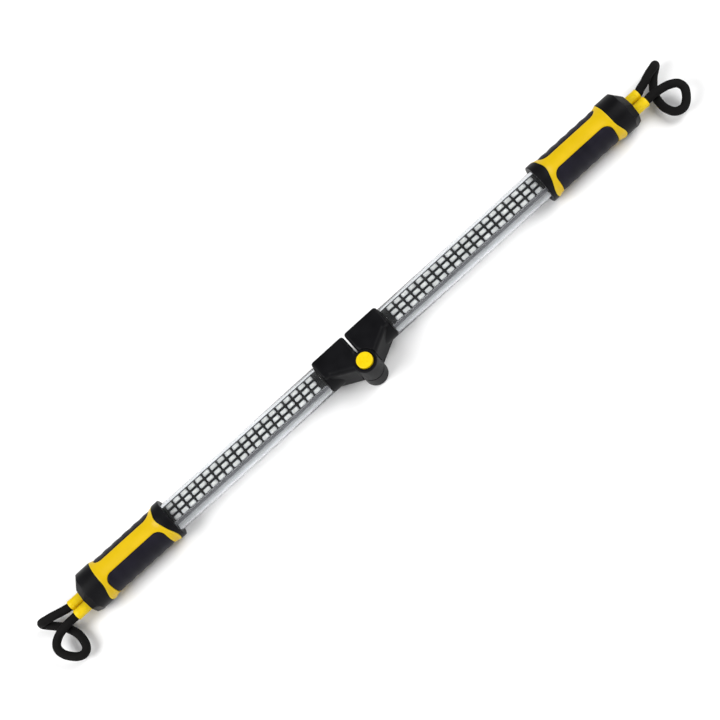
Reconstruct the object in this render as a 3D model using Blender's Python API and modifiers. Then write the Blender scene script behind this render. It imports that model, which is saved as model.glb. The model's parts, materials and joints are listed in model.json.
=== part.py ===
"""Folding two-section LED work light with push-button knuckle and bendable hooks.

The light lies on its back. +X runs along the right-hand section, +Z is the side the LEDs
face, and the fold axis runs along Z through the knuckle below the tubes. The right-hand
pieces are modelled once and mirrored for the left; the two joint housings and the two
hand-bent hooks differ. All sizes are in metres.
"""
import math

import bpy
import bmesh
from mathutils import Matrix, Vector

for leftover in list(bpy.data.objects):
    bpy.data.objects.remove(leftover, do_unlink=True)

# ---------------------------------------------------------------- driving dimensions
GAP = 0.0003                  # running gap between pieces that touch
AXIS_Y = 0.0095               # the tubes' axis, from the origin below the whole light
AXIS_Z = 0.0196
FOLD_DROP = 0.0220            # the fold axis lies this far below the tubes' axis, in -Y
SEGMENTS = 24
BOLD_SEGMENTS = 32            # for the housings, shells and grips

TUBE_R = 0.0150
TUBE_BORE_R = 0.0132
SLIT_HALF = 0.0008            # half of the slit between the two housings
HOUSING_END = 0.0387
HOUSING_FRONT = 0.0185        # front face of the housings, above the tubes' axis
HOUSING_TOP = 0.0125          # their edge in +Y
LOBE_R = 0.0113
LOBE_SPLIT = -0.0030          # height where the front lobe meets the back lobe
TUBE_START = 0.0398
FLANGE_START = 0.2230
FLANGE_END = 0.2315
TUBE_END = 0.2290
HANDLE_R = 0.0200
SHELL_START = 0.2318
SHELL_END = 0.3050
SHELL_BORE_R = 0.0146
STRIP_R = 0.0186
POCKET_R = 0.0169
GRIP_START = 0.2350
GRIP_END = 0.3025
GRIP_HALF_HEIGHT = 0.0156
GRIP_CORNER_R = 0.0080
CAP_START = 0.3053
CAP_SHOULDER = 0.3210
CAP_END = 0.3300
CAP_FACE_R = 0.0145
CAP_FLOOR = 0.3090
SPIGOT_R = 0.0143
SPIGOT_BORE_R = 0.0128
SPIGOT_LENGTH = 0.0046
SCREW_INSET = 0.0030          # the shell screws, from the handle's end faces
HOOK_SHIFT = (-0.0020, -0.0030)   # (Y, Z) of the middle of the two hook ends
HOOK_HALF_SPACING = 0.0055
COLLAR_R = 0.00525
COLLAR_BORE_R = 0.0045
COLLAR_START = 0.3303
COLLAR_END = {"left": 0.3456, "right": 0.3440}
HOOK_R = 0.0041
HOOK_WIRE_R = 0.00115
HOOK_HOLE_R = 0.0017
BATTERY_R = 0.0092
BATTERY_RISE = 0.0034
BATTERY_START = 0.2365
BATTERY_LENGTH = 0.0650
POWER_BUTTON_X = 0.2620       # on the rear shell, over the driver board's switch
CHARGE_SOCKET_X = 0.2880
BOARD_HALF_WIDTH = 0.00915
BOARD_TOP = 0.0076
BUTTON_R = 0.0077
BUTTON_TOP = 0.0207

# ---------------------------------------------------------------- collections and materials
parts = bpy.data.collections.new("folding_work_light")
cutters = bpy.data.collections.new("cutters")
for collection in (parts, cutters):
    bpy.context.scene.collection.children.link(collection)

FINISHES = {                  # colour, roughness, metallic
    "clear_tube": ((0.86, 0.89, 0.90), 0.08, 0.0),
    "yellow_plastic": ((0.85, 0.56, 0.01), 0.35, 0.0),
    "black_plastic": ((0.010, 0.010, 0.012), 0.42, 0.0),
    "grip_rubber": ((0.016, 0.014, 0.024), 0.62, 0.0),
    "hook_foam": ((0.012, 0.012, 0.013), 0.80, 0.0),
    "seal_rubber": ((0.010, 0.010, 0.010), 0.70, 0.0),
    "steel": ((0.55, 0.55, 0.56), 0.30, 1.0),
    "aluminium": ((0.62, 0.63, 0.65), 0.38, 1.0),
    "circuit_board": ((0.012, 0.014, 0.013), 0.45, 0.0),
    "cell_wrap": ((0.05, 0.16, 0.36), 0.40, 0.0),
}


def finish(piece, name):
    """Give the piece a material of its own."""
    colour, roughness, metallic = FINISHES[name]
    material = bpy.data.materials.new(f"{piece.name}_{name}")
    material.use_nodes = True
    shader = material.node_tree.nodes["Principled BSDF"]
    shader.inputs["Base Color"].default_value = (*colour, 1.0)
    shader.inputs["Roughness"].default_value = roughness
    shader.inputs["Metallic"].default_value = metallic
    if name == "clear_tube":
        shader.inputs["Transmission Weight"].default_value = 1.0
    piece.data.materials.clear()
    piece.data.materials.append(material)


# ---------------------------------------------------------------- modelling helpers
def add(name, data, collection=parts):
    piece = bpy.data.objects.new(name, data)
    collection.objects.link(piece)
    if collection is cutters:
        piece.hide_render = True
        piece.display_type = "WIRE"
    return piece


def turned(name, points, collection=parts, axis="X", centre=(0.0, 0.0), ring=False,
           segments=SEGMENTS):
    """Turn (radius, height) points; they run down the outer side. A ring closes on itself."""
    mesh = bpy.data.meshes.new(name)
    edges = [(i, i + 1) for i in range(len(points) - 1)]
    if ring:
        edges.append((len(points) - 1, 0))
    mesh.from_pydata([(radius, 0.0, height) for radius, height in points], edges, [])
    piece = add(name, mesh, collection)
    screw = piece.modifiers.new("turn", "SCREW")
    screw.angle = math.tau
    screw.steps = screw.render_steps = segments
    screw.use_merge_vertices = True
    screw.merge_threshold = 0.00001
    if axis == "X":
        piece.rotation_euler = (0.0, math.pi / 2, 0.0)
        piece.location = (0.0, centre[0], centre[1])
    else:
        piece.location = (centre[0], centre[1], 0.0)
    return piece


def rod(name, radius, low, high, collection=parts, axis="X", centre=(0.0, 0.0),
        segments=SEGMENTS):
    """A plain cylinder between two heights on an axis along X or Z."""
    mesh = bpy.data.meshes.new(name)
    form = bmesh.new()
    bmesh.ops.create_cone(form, cap_ends=True, segments=segments, radius1=radius,
                          radius2=radius, depth=high - low)
    if axis == "X":
        bmesh.ops.rotate(form, verts=form.verts, matrix=Matrix.Rotation(math.pi / 2, 3, "Y"))
        middle = ((low + high) / 2, centre[0], centre[1])
    else:
        middle = (centre[0], centre[1], (low + high) / 2)
    bmesh.ops.translate(form, verts=form.verts, vec=middle)
    form.to_mesh(mesh)
    form.free()
    return add(name, mesh, collection)


def tube(name, radius, bore, low, high, collection=parts, axis="X", centre=(0.0, 0.0),
         segments=SEGMENTS):
    points = [(radius, high), (radius, low), (bore, low), (bore, high)]
    return turned(name, points, collection, axis, centre, ring=True, segments=segments)


def box(name, low, high, collection=parts):
    mesh = bpy.data.meshes.new(name)
    form = bmesh.new()
    bmesh.ops.create_cube(form, size=1.0)
    low, high = Vector(low), Vector(high)
    for vertex in form.verts:
        vertex.co = [(low[i] + high[i]) / 2 + vertex.co[i] * (high[i] - low[i])
                     for i in range(3)]
    form.to_mesh(mesh)
    form.free()
    return add(name, mesh, collection)


def solid_mesh(piece):
    """The piece's evaluated mesh, with loose caps welded and faces pointing out."""
    bpy.context.view_layer.update()
    evaluated = piece.evaluated_get(bpy.context.evaluated_depsgraph_get())
    mesh = bpy.data.meshes.new_from_object(evaluated)
    form = bmesh.new()
    form.from_mesh(mesh)
    bmesh.ops.remove_doubles(form, verts=form.verts, dist=0.000001)
    bmesh.ops.recalc_face_normals(form, faces=form.faces)
    form.to_mesh(mesh)
    form.free()
    return mesh


def settle(piece):
    """Replace a curve, or a piece with modifiers, by its finished mesh."""
    mesh = solid_mesh(piece)
    name, collection = piece.name, piece.users_collection[0]
    matrix = piece.matrix_world.copy()
    bpy.data.objects.remove(piece, do_unlink=True)
    settled = add(name, mesh, collection)
    settled.matrix_world = matrix
    return settled


def plate(name, outline, low, high, collection=parts, upright=False):
    """A flat outline with thickness along Z, or along Y when it stands upright."""
    curve = bpy.data.curves.new(name, "CURVE")
    curve.dimensions = "2D"
    curve.fill_mode = "BOTH"
    curve.extrude = (high - low) / 2
    spline = curve.splines.new("POLY")
    spline.points.add(len(outline) - 1)
    for point, (across, along) in zip(spline.points, outline):
        point.co = (across, along, 0.0, 1.0)
    spline.use_cyclic_u = True
    piece = add(name, curve, collection)
    if upright:
        piece.rotation_euler = (math.pi / 2, 0.0, 0.0)
        piece.location = (0.0, (low + high) / 2, 0.0)
    else:
        piece.location = (0.0, 0.0, (low + high) / 2)
    return settle(piece)


def boolean(piece, other, operation="DIFFERENCE"):
    modifier = piece.modifiers.new(other.name, "BOOLEAN")
    modifier.operation = operation
    modifier.object = other


def smooth(piece, angle=math.radians(35)):
    piece.data.shade_smooth()
    piece.data.set_sharp_from_angle(angle=angle)


def arc(centre, radius, start, end, steps):
    """Points on an arc, angles in degrees."""
    angles = [math.radians(start + (end - start) * i / steps) for i in range(steps + 1)]
    return [(centre[0] + radius * math.cos(a), centre[1] + radius * math.sin(a))
            for a in angles]


def rounded_rectangle(low_x, high_x, half_height, radius, steps=4):
    corners = [(high_x - radius, half_height - radius, 0),
               (low_x + radius, half_height - radius, 90),
               (low_x + radius, radius - half_height, 180),
               (high_x - radius, radius - half_height, 270)]
    outline = []
    for x, z, start in corners:
        outline += arc((x, z), radius, start, start + 90, steps)
    return outline


def smooth_path(points, spacing):
    """A Catmull-Rom curve through the points, sampled at an even spacing."""
    ends = [2 * points[0] - points[1]] + points + [2 * points[-1] - points[-2]]
    fine = []
    for i in range(1, len(ends) - 2):
        a, b, c, d = ends[i - 1:i + 3]
        for step in range(24):
            t = step / 24
            fine.append(0.5 * (2 * b + (c - a) * t + (2 * a - 5 * b + 4 * c - d) * t ** 2
                               + (3 * b - a - 3 * c + d) * t ** 3))
    fine.append(points[-1])
    lengths = [0.0]
    for first, second in zip(fine, fine[1:]):
        lengths.append(lengths[-1] + (second - first).length)
    count = round(lengths[-1] / spacing)
    path, index = [], 0
    for i in range(count + 1):
        wanted = lengths[-1] * i / count
        while index < len(lengths) - 2 and lengths[index + 1] < wanted:
            index += 1
        span = lengths[index + 1] - lengths[index]
        path.append(fine[index].lerp(fine[index + 1], (wanted - lengths[index]) / span))
    return path


def wire(name, path, radius, resolution, collection=parts):
    curve = bpy.data.curves.new(name, "CURVE")
    curve.dimensions = "3D"
    curve.bevel_depth = radius
    curve.bevel_resolution = resolution
    curve.use_fill_caps = True
    spline = curve.splines.new("POLY")
    spline.points.add(len(path) - 1)
    for point, place in zip(spline.points, path):
        point.co = (*place, 1.0)
    return settle(add(name, curve, collection))


# ---------------------------------------------------------------- joint housings and knuckle
FOLD = (0.0, -FOLD_DROP)
HOUSING_BACK = -0.0150
KNUCKLE_BACK = -AXIS_Z
POCKET_DEPTH = 0.0310         # where the board's pocket inside a housing starts
SOCKET_R = 0.0123
GEAR_POCKET_R = 0.0079
GEAR_POCKET_FLOOR = -0.0156
GEAR_R = 0.0068
LEG_ORBIT = 0.0050            # the button's legs stand on this circle


def gear_outline(radius, depth, teeth=6):
    """A coarse spline profile about the fold axis."""
    outline = []
    for tooth in range(teeth):
        middle = 360 * tooth / teeth
        for angle, reach in ((-14, radius - depth), (-8, radius), (8, radius),
                             (14, radius - depth)):
            turn = math.radians(middle + angle)
            outline.append((FOLD[0] + reach * math.cos(turn),
                            FOLD[1] + reach * math.sin(turn)))
    return outline


def joint_housing(side, sign):
    """One half of the knuckle joint. The left one (sign -1) carries the front lobe."""
    name = f"{side}_joint_housing"
    front = sign < 0
    order = [(0.0, HOUSING_END), (TUBE_R, HOUSING_END), (TUBE_R, SLIT_HALF), (0.0, SLIT_HALF)]
    body = turned(name, [(r, sign * h) for r, h in order][::sign], segments=BOLD_SEGMENTS)

    def helper(suffix):
        return f"{name}_{suffix}"

    block = plate(helper("block"), [
        (sign * SLIT_HALF, -0.0100), (sign * (HOUSING_END - 0.0001), -0.0088),
        (sign * (HOUSING_END - 0.0001), HOUSING_TOP), (sign * SLIT_HALF, HOUSING_TOP)],
        -0.0020, HOUSING_FRONT, cutters)
    web = plate(helper("web"), [
        (sign * (SLIT_HALF + 0.00005), -0.0020), (sign * 0.0352, -0.0020),
        (sign * 0.0335, -0.0090), (sign * 0.0118, -0.0215),
        (sign * 0.0060, -0.0215), (sign * (SLIT_HALF + 0.00005), -0.0150)],
        HOUSING_BACK - 0.0004, HOUSING_FRONT - 0.00005, cutters)
    for form, width in ((block, 0.0030), (web, 0.0018)):
        bevel = form.modifiers.new("edges", "BEVEL")
        bevel.width = width
        bevel.segments = 2
        bevel.limit_method = "ANGLE"
        bevel.angle_limit = math.radians(60)
    boolean(body, block, "UNION")
    boolean(body, web, "UNION")

    # add this half's lobe, then clear the space of the other half's
    if front:
        lobe = rod(helper("lobe"), LOBE_R, LOBE_SPLIT - 0.0020, HOUSING_FRONT + 0.0002, cutters,
                   "Z", FOLD, BOLD_SEGMENTS)
        notch = rod(helper("notch"), LOBE_R + GAP, -0.030, LOBE_SPLIT, cutters, "Z", FOLD,
                    BOLD_SEGMENTS)
    else:
        lobe = turned(helper("lobe"), [
            (0.0, LOBE_SPLIT), (LOBE_R, LOBE_SPLIT), (LOBE_R, KNUCKLE_BACK + 0.0035),
            (LOBE_R - 0.0011, KNUCKLE_BACK + 0.0011), (LOBE_R - 0.0035, KNUCKLE_BACK),
            (0.0, KNUCKLE_BACK)], cutters, "Z", FOLD, segments=BOLD_SEGMENTS)
        notch = rod(helper("notch"), LOBE_R + GAP, LOBE_SPLIT - GAP, 0.030, cutters, "Z",
                    FOLD, BOLD_SEGMENTS)
    boolean(body, lobe, "UNION")
    boolean(body, notch)

    # the board's pocket and the short spigot inside the tube
    pocket = [(0.0, HOUSING_END + 0.01), (SOCKET_R, HOUSING_END + 0.01),
              (SOCKET_R, POCKET_DEPTH), (0.0, POCKET_DEPTH)]
    spigot = [(0.0130, HOUSING_END + 0.0030), (0.0130, HOUSING_END - 0.0020),
              (SOCKET_R - 0.0003, HOUSING_END - 0.0020),
              (SOCKET_R - 0.0003, HOUSING_END + 0.0030)]
    spigot_form = turned(helper("spigot"), [(r, sign * h) for r, h in spigot][::sign], cutters,
                         ring=True, segments=BOLD_SEGMENTS)
    pocket_form = turned(helper("pocket"), [(r, sign * h) for r, h in pocket][::sign], cutters,
                         segments=BOLD_SEGMENTS)
    boolean(body, spigot_form, "UNION")
    boolean(body, pocket_form)

    if front:
        boolean(body, rod(helper("well"), BUTTON_R + GAP, 0.0, 0.030, cutters, "Z", FOLD))
        boolean(body, plate(helper("spline"), gear_outline(GEAR_R + GAP, 0.0012), -0.010,
                            0.005, cutters))
    else:
        boolean(body, turned(helper("gear_room"), [
            (0.0, 0.010), (GEAR_POCKET_R, 0.010), (GEAR_POCKET_R, GEAR_POCKET_FLOOR),
            (0.0027, GEAR_POCKET_FLOOR), (0.0027, -0.0170), (0.0050, -0.0170),
            (0.0050, -0.030), (0.0, -0.030)], cutters, "Z", FOLD))
    finish(body, "black_plastic")
    return body


def leg_centres():
    """Where the button's three legs pass through the washer."""
    return arc(FOLD, LEG_ORBIT, 0, 240, 2)


def release_button():
    """The round push button: a hollow cap with three legs that reach the lock gear."""
    outer, inner = BUTTON_R, BUTTON_R - 0.0013
    skirt, ceiling = 0.0065, BUTTON_TOP - 0.0020
    body = turned("release_button", [
        (0.0, BUTTON_TOP), (outer * 0.6, BUTTON_TOP - 0.0001),
        (outer - 0.0010, BUTTON_TOP - 0.0004), (outer, BUTTON_TOP - 0.0014), (outer, skirt),
        (inner, skirt), (inner, ceiling), (0.0, ceiling)], axis="Z", centre=FOLD)
    for index, centre in enumerate(leg_centres()):
        boolean(body, rod(f"button_leg_{index}", 0.0009, -0.0001, ceiling + 0.0005, cutters,
                          "Z", centre, 10), "UNION")
    finish(body, "yellow_plastic")


def retaining_washer():
    body = tube("retaining_washer", BUTTON_R, 0.0027, GAP, 0.0015, axis="Z", centre=FOLD)
    for index, centre in enumerate(leg_centres()):
        boolean(body, rod(f"washer_hole_{index}", 0.0013, -0.002, 0.004, cutters, "Z",
                          centre, 8))
    finish(body, "steel")


def lock_gear():
    body = plate("lock_gear", gear_outline(GEAR_R, 0.0012), -0.0095, -0.0004)
    boolean(body, rod("lock_gear_bore", 0.0028, -0.020, 0.010, cutters, "Z", FOLD, 16))
    finish(body, "steel")


def lock_spring():
    turns, per_turn, radius, thickness = 3, 10, 0.0052, 0.00045
    low = GEAR_POCKET_FLOOR + GAP + thickness
    high = -0.0095 - GAP - thickness
    path = []
    for i in range(turns * per_turn + 1):
        turn = math.tau * i / per_turn
        path.append(Vector((FOLD[0] + radius * math.cos(turn), FOLD[1] + radius * math.sin(turn),
                            low + (high - low) * i / (turns * per_turn))))
    finish(wire("lock_spring", path, thickness, 0), "steel")


def pivot_bolt():
    finish(turned("pivot_bolt", [
        (0.0, 0.0044), (0.0024, 0.0044), (0.0024, -0.0173), (0.0046, -0.0173),
        (0.0046, -0.0193), (0.0, -0.0193)], axis="Z", centre=FOLD, segments=16), "steel")
    nut = rod("pivot_nut", 0.0040, 0.0018, 0.0042, axis="Z", centre=FOLD, segments=6)
    boolean(nut, rod("pivot_nut_bore", 0.0027, 0.0, 0.006, cutters, "Z", FOLD, 16))
    finish(nut, "steel")


# ---------------------------------------------------------------- tube and light engine
def light_engine():
    finish(tube("right_tube", TUBE_R, TUBE_BORE_R, TUBE_START, TUBE_END), "clear_tube")
    finish(tube("right_joint_gasket", TUBE_R, TUBE_BORE_R + 0.0001, HOUSING_END + GAP,
                TUBE_START - GAP), "seal_rubber")
    finish(box("right_led_board", (0.0316, -BOARD_HALF_WIDTH, BOARD_TOP - 0.0012),
               (0.2285, BOARD_HALF_WIDTH, BOARD_TOP)), "circuit_board")
    top, floor, foot, wall = BOARD_TOP - 0.0015, BOARD_TOP - 0.0027, -0.0010, 0.0012
    edge = BOARD_HALF_WIDTH
    section = [(-edge, foot), (-edge + wall, foot), (-edge + wall, floor), (edge - wall, floor),
               (edge - wall, foot), (edge, foot), (edge, top), (-edge, top)]
    start, end = 0.0325, 0.2280
    rail = plate("right_board_rail", section, start, end)
    lay_along_x = Matrix(((0, 0, 1, 0), (1, 0, 0, 0), (0, 1, 0, 0), (0, 0, 0, 1)))
    rail.data.transform(lay_along_x @ rail.matrix_world)
    rail.matrix_world = Matrix.Identity(4)
    finish(rail, "aluminium")


# ---------------------------------------------------------------- handle
def rest_flat(piece, start, end):
    """Cut the narrow flat on which the handle rests."""
    boolean(piece, box(f"{piece.name}_flat", (start, -0.03, -0.03), (end, 0.03, -AXIS_Z), cutters))


def flange():
    outer, chamfer = HANDLE_R, 0.0012
    body = turned("right_flange", [
        (outer - chamfer, FLANGE_END), (outer, FLANGE_END - chamfer),
        (outer, FLANGE_START + chamfer), (outer - chamfer, FLANGE_START),
        (TUBE_R + GAP, FLANGE_START), (TUBE_R + GAP, FLANGE_START + 0.0014),
        (0.0174, FLANGE_START + 0.0014), (0.0174, FLANGE_START + 0.0037),
        (TUBE_R + GAP, FLANGE_START + 0.0037), (TUBE_R + GAP, TUBE_END + GAP),
        (SOCKET_R, TUBE_END + GAP), (SOCKET_R, FLANGE_END + SPIGOT_LENGTH),
        (SPIGOT_R, FLANGE_END + SPIGOT_LENGTH), (SPIGOT_R, FLANGE_END)], ring=True)
    rest_flat(body, FLANGE_START - 0.01, FLANGE_END + 0.01)
    boolean(body, rod("flange_screw_hole", 0.0014, -0.016, -0.008, cutters, "Z",
                      (FLANGE_END + SCREW_INSET, 0.0), 12))
    finish(body, "black_plastic")
    middle = FLANGE_START + 0.00255
    bpy.ops.mesh.primitive_torus_add(major_radius=0.01632, minor_radius=0.0009,
                                     major_segments=20, minor_segments=5,
                                     location=(middle, 0.0, 0.0),
                                     rotation=(0.0, math.pi / 2, 0.0))
    seal = bpy.context.object
    seal.name = seal.data.name = "right_flange_seal"
    for collection in list(seal.users_collection):
        collection.objects.unlink(seal)
    parts.objects.link(seal)
    finish(seal, "seal_rubber")


def grip_pocket(name, sign, half_height, floor_r, outer_r, inset, collection):
    """The patch that a side grip fills: a ring cut to a rounded outline on one side."""
    start, end = GRIP_START + inset, GRIP_END - inset
    patch = tube(name, outer_r, floor_r, start - 0.0001, end + 0.0001, collection,
                 segments=BOLD_SEGMENTS)
    outline = rounded_rectangle(start, end, half_height, GRIP_CORNER_R)
    low, high = (0.0020, 0.0300) if sign > 0 else (-0.0300, -0.0020)
    window = plate(f"{name}_window", outline, low, high, cutters, upright=True)
    boolean(patch, window, "INTERSECT")
    return patch


def shells():
    """Front and rear handle shells, with end bands and pockets for the grips."""
    band = 0.0024
    profile = [
        (STRIP_R + 0.0012, SHELL_END), (STRIP_R + 0.0012, SHELL_END - band * 0.6),
        (STRIP_R, SHELL_END - band * 1.4), (STRIP_R, SHELL_START + band * 1.4),
        (STRIP_R + 0.0012, SHELL_START + band * 0.6), (STRIP_R + 0.0012, SHELL_START),
        (SHELL_BORE_R, SHELL_START), (SHELL_BORE_R, SHELL_END)]
    for name, low, high in (("right_front_shell", 0.00015, 0.03),
                            ("right_rear_shell", -0.03, -0.00015)):
        shell = turned(name, profile, ring=True, segments=BOLD_SEGMENTS)
        for label, sign in (("upper", 1), ("lower", -1)):
            pocket = grip_pocket(f"{name}_{label}_pocket", sign, GRIP_HALF_HEIGHT, POCKET_R,
                                 0.025, 0.0, cutters)
            boolean(shell, pocket)
        half = box(f"{name}_half", (0.2, -0.04, low), (0.34, 0.04, high), cutters)
        boolean(shell, half, "INTERSECT")
        if name == "right_rear_shell":
            rest_flat(shell, 0.2, 0.34)
            for x, radius in ((POWER_BUTTON_X, 0.0048), (CHARGE_SOCKET_X, 0.0039)):
                boolean(shell, rod(f"shell_hole_{x}", radius, -0.03, -0.008, cutters, "Z",
                                   (x, 0.0), 20))
            for x in (FLANGE_END + SCREW_INSET, CAP_START - SCREW_INSET):
                boolean(shell, rod(f"screw_hole_{x}", 0.0014, -0.03, -0.008, cutters, "Z",
                                   (x, 0.0), 12))
                boolean(shell, rod(f"screw_sink_{x}", 0.0023, -0.03, -0.0172, cutters, "Z",
                                   (x, 0.0), 16))
        finish(shell, "yellow_plastic")
    for label, sign in (("upper", 1), ("lower", -1)):
        grip = grip_pocket(f"right_{label}_grip", sign, GRIP_HALF_HEIGHT - GAP, POCKET_R + GAP,
                           STRIP_R - 0.0002, GAP, parts)
        finish(grip, "grip_rubber")


def end_cap():
    body = turned("right_end_cap", [
        (0.0, CAP_END), (CAP_FACE_R, CAP_END), (HANDLE_R, CAP_SHOULDER),
        (HANDLE_R, CAP_START + 0.0010), (HANDLE_R - 0.0010, CAP_START), (SPIGOT_R, CAP_START),
        (SPIGOT_R, CAP_START - SPIGOT_LENGTH), (SPIGOT_BORE_R, CAP_START - SPIGOT_LENGTH),
        (SPIGOT_BORE_R, CAP_FLOOR), (0.0, CAP_FLOOR)])
    body = settle(body)
    body.data.transform(body.matrix_world)
    body.matrix_world = Matrix.Identity(4)
    for vertex in body.data.vertices:        # the end face sits off the axis, by the hooks
        share = max(0.0, (vertex.co.x - CAP_SHOULDER) / (CAP_END - CAP_SHOULDER))
        vertex.co.y += HOOK_SHIFT[0] * share
        vertex.co.z += HOOK_SHIFT[1] * share
    rest_flat(body, CAP_START - 0.02, CAP_END + 0.01)
    for label, sign in (("upper", 1), ("lower", -1)):
        centre = (HOOK_SHIFT[0] + sign * HOOK_HALF_SPACING, HOOK_SHIFT[1])
        boolean(body, rod(f"cap_{label}_socket", HOOK_WIRE_R + GAP, 0.3160, 0.340, cutters,
                          "X", centre, 8))
    boolean(body, rod("cap_screw_hole", 0.0014, -0.016, -0.008, cutters, "Z",
                      (CAP_START - SCREW_INSET, 0.0), 12))
    finish(body, "black_plastic")


def handle_inside():
    battery_end = BATTERY_START + BATTERY_LENGTH
    centre = (0.0, BATTERY_RISE)
    finish(turned("right_battery", [
        (0.0, battery_end), (BATTERY_R, battery_end), (BATTERY_R, BATTERY_START + 0.0010),
        (0.0030, BATTERY_START + 0.0010), (0.0030, BATTERY_START), (0.0, BATTERY_START)],
        centre=centre, segments=20), "cell_wrap")
    finish(rod("right_contact_plate", 0.0060, BATTERY_START - 0.0009, BATTERY_START - GAP,
               centre=centre, segments=16), "steel")
    turns, per_turn, thickness = 2.5, 10, 0.0004
    low, high = battery_end + GAP + thickness, CAP_FLOOR - GAP - thickness
    steps = round(turns * per_turn)
    path = []
    for i in range(steps + 1):
        turn = math.tau * i / per_turn
        radius = 0.0024 + 0.0022 * i / steps
        path.append(Vector((low + (high - low) * i / steps, radius * math.cos(turn),
                            BATTERY_RISE + radius * math.sin(turn))))
    finish(wire("right_contact_spring", path, thickness, 0), "steel")
    finish(box("right_driver_board", (0.2400, -0.0085, -0.0082), (0.2970, 0.0085, -0.0072)),
           "circuit_board")
    finish(box("right_tact_switch", (POWER_BUTTON_X - 0.0030, -0.0030, -0.0105),
               (POWER_BUTTON_X + 0.0030, 0.0030, -0.0085)), "black_plastic")
    finish(turned("right_power_button", [
        (0.0, -0.0117), (0.0054, -0.0117), (0.0054, -0.0127), (0.0045, -0.0127),
        (0.0045, -0.0188), (0.0041, -0.0192), (0.0, -0.0192)], axis="Z",
        centre=(POWER_BUTTON_X, 0.0), segments=16), "black_plastic")
    finish(turned("right_charge_socket", [
        (0.0, -0.0085), (0.0036, -0.0085), (0.0036, -0.0182), (0.0022, -0.0182),
        (0.0022, -0.0110), (0.0, -0.0110)], axis="Z", centre=(CHARGE_SOCKET_X, 0.0),
        segments=16), "black_plastic")
    for label, x in (("flange", FLANGE_END + SCREW_INSET),
                     ("cap", CAP_START - SCREW_INSET)):
        finish(turned(f"right_{label}_screw", [
            (0.0, -0.0132), (0.0010, -0.0132), (0.0010, -0.0175), (0.0020, -0.0175),
            (0.0020, -0.0190), (0.0, -0.0190)], axis="Z", centre=(x, 0.0), segments=8),
            "steel")


# ---------------------------------------------------------------- hooks
UPPER_Y = HOOK_SHIFT[0] + HOOK_HALF_SPACING
LOWER_Y = HOOK_SHIFT[0] - HOOK_HALF_SPACING
# points from the upper collar round to the lower one, with X away from the knuckle
HOOK_BENDS = {
    "left": (
        (0.3471, 0.0034, -0.0028), (0.3545, 0.0049, -0.0023), (0.3633, 0.0073, -0.0020),
        (0.3711, 0.0093, -0.0024), (0.3749, 0.0107, -0.0038), (0.3774, 0.0123, -0.0070),
        (0.3780, 0.0121, -0.0102), (0.3758, 0.0095, -0.0116), (0.3696, 0.0029, -0.0120),
        (0.3645, -0.0028, -0.0120), (0.3606, -0.0091, -0.0119), (0.3572, -0.0167, -0.0116),
        (0.3559, -0.0252, -0.0112), (0.3570, -0.0338, -0.0102), (0.3611, -0.0376, -0.0095),
        (0.3659, -0.0371, -0.0088), (0.3711, -0.0333, -0.0078), (0.3764, -0.0263, -0.0064),
        (0.3780, -0.0194, -0.0054), (0.3759, -0.0144, -0.0044), (0.3701, -0.0109, -0.0030),
        (0.3619, -0.0090, -0.0018), (0.3540, -0.0082, -0.0019)),
    "right": (
        (0.3486, 0.0052, -0.0028), (0.3554, 0.0071, -0.0023), (0.3642, 0.0105, -0.0020),
        (0.3695, 0.0121, -0.0024), (0.3729, 0.0137, -0.0038), (0.3755, 0.0156, -0.0070),
        (0.3757, 0.0157, -0.0102), (0.3731, 0.0142, -0.0116), (0.3684, 0.0108, -0.0120),
        (0.3636, 0.0060, -0.0120), (0.3587, 0.0000, -0.0120), (0.3556, -0.0055, -0.0119),
        (0.3536, -0.0125, -0.0116), (0.3531, -0.0218, -0.0112), (0.3559, -0.0310, -0.0098),
        (0.3621, -0.0348, -0.0084), (0.3679, -0.0331, -0.0074), (0.3730, -0.0285, -0.0062),
        (0.3765, -0.0227, -0.0050), (0.3765, -0.0179, -0.0042), (0.3741, -0.0139, -0.0034),
        (0.3675, -0.0108, -0.0020), (0.3595, -0.0090, -0.0015), (0.3510, -0.0077, -0.0019)),
}


def hook(side, sign):
    """The bendable hook: a steel wire in a foam sleeve, from one collar round to the other."""
    starts, ends = ([(x, y, HOOK_SHIFT[1]) for x in (0.3310, 0.3440)]
                    for y in (UPPER_Y, LOWER_Y))
    route = [Vector((sign * x, y, z)) for x, y, z in (*starts, *HOOK_BENDS[side], *ends[::-1])]
    path = smooth_path(route, 0.0050)
    sleeve = wire(f"{side}_hook_sleeve", path, HOOK_R, 2)
    stub = Vector((sign * 0.0140, 0.0, 0.0))
    lead_in = Vector((sign * 0.0020, 0.0, 0.0))
    hole = wire(f"{side}_hook_hole", [path[0] - lead_in] + path[1:-1] + [path[-1] - lead_in],
                HOOK_HOLE_R, 1, cutters)
    boolean(sleeve, hole)
    finish(sleeve, "hook_foam")
    core = wire(f"{side}_hook_wire", [path[0] - stub] + path[1:-1] + [path[-1] - stub],
                HOOK_WIRE_R, 1)
    finish(core, "steel")
    low, high = sorted((sign * COLLAR_START, sign * COLLAR_END[side]))
    for label, y in (("upper", UPPER_Y), ("lower", LOWER_Y)):
        finish(tube(f"{side}_{label}_collar", COLLAR_R, COLLAR_BORE_R, low, high,
                    centre=(y, HOOK_SHIFT[1]), segments=16), "yellow_plastic")


# ---------------------------------------------------------------- assembly
light_engine()
flange()
shells()
end_cap()
handle_inside()

MIRROR = Matrix.Scale(-1.0, 4, (1.0, 0.0, 0.0))
for piece in list(parts.objects):            # the left section mirrors the right one
    mesh = solid_mesh(piece)
    mesh.transform(MIRROR @ piece.matrix_world)
    mesh.flip_normals()
    add(piece.name.replace("right_", "left_", 1), mesh)

for side, sign in (("left", -1), ("right", 1)):
    hook(side, sign)
    joint_housing(side, sign)
release_button()
retaining_washer()
lock_gear()
lock_spring()
pivot_bolt()

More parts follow.
